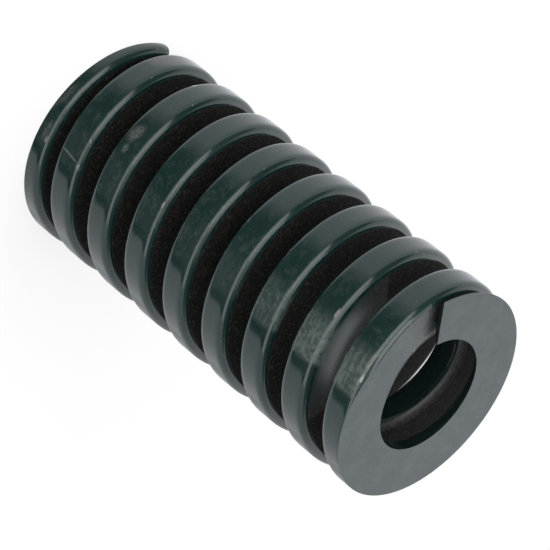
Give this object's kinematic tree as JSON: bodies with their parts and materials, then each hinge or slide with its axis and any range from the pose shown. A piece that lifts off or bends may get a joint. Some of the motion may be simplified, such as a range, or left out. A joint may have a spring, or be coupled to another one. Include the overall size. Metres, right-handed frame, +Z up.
{
  "type": "die spring",
  "caption": "Compression spring of rounded rectangular wire, wound right-handed, with closed and ground ends, painted dark green.",
  "frame": {"origin": "centre of the bottom ground end, on the coil's axis, where the spring stands", "axes": "+Z up the coil's axis to the other ground end; +X over the cut end of the wire at the bottom"},
  "size_m": [0.0244, 0.0244, 0.051],
  "materials": {
    "green_paint": "glossy dark green paint over spring steel, worn along the edges, with satin grey ground ends"
  },
  "bodies": {
    "root": {"spring_coil": "green_paint"}
  },
  "joints": []
}
